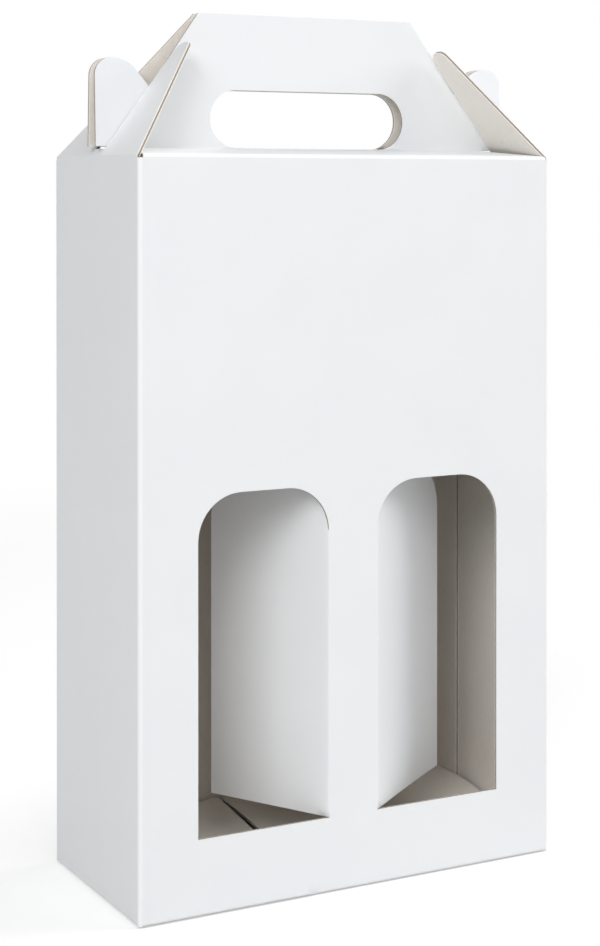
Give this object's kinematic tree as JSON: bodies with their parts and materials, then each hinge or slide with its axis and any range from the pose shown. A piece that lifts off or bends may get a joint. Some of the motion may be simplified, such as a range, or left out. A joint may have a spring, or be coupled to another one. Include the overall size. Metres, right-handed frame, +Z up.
{
  "type": "bottle carrier carton",
  "caption": "Upright cardboard carrier carton with arched front windows, folded-in divider flaps, slotted side locking flaps and a double handle panel with a handhold.",
  "frame": {"origin": "middle of the flat bottom", "axes": "+X along the width to the right seen from the windows, +Y from the window wall to the back, +Z up towards the handle"},
  "size_m": [0.203, 0.0926, 0.3729],
  "materials": {
    "board": "white coated outside, uncoated warm grey-white inside, brown at cut edges, matt"
  },
  "bodies": {
    "box": {"carton": "board"},
    "left_lock": {"left_locking_flap": "board"},
    "right_lock": {"right_locking_flap": "board"},
    "left_divider": {"left_divider_flap": "board"},
    "right_divider": {"right_divider_flap": "board"}
  },
  "joints": [
    {"name": "left_lock_fold", "type": "hinge", "parent": "box", "child": "left_lock", "pos_m": [-0.0992, 0, 0.3107], "axis": [0, -1, 0], "range_deg": [0, 125]},
    {"name": "right_lock_fold", "type": "hinge", "parent": "box", "child": "right_lock", "pos_m": [0.0992, 0, 0.3107], "axis": [0, 1, 0], "range_deg": [0, 125]},
    {"name": "left_divider_fold", "type": "hinge", "parent": "box", "child": "left_divider", "pos_m": [-0.0127, -0.04545, 0.102], "axis": [0, 0, 1], "range_deg": [-27.6, 60]},
    {"name": "right_divider_fold", "type": "hinge", "parent": "box", "child": "right_divider", "pos_m": [0.0108, -0.04545, 0.102], "axis": [0, 0, 1], "range_deg": [-33, 55]}
  ]
}
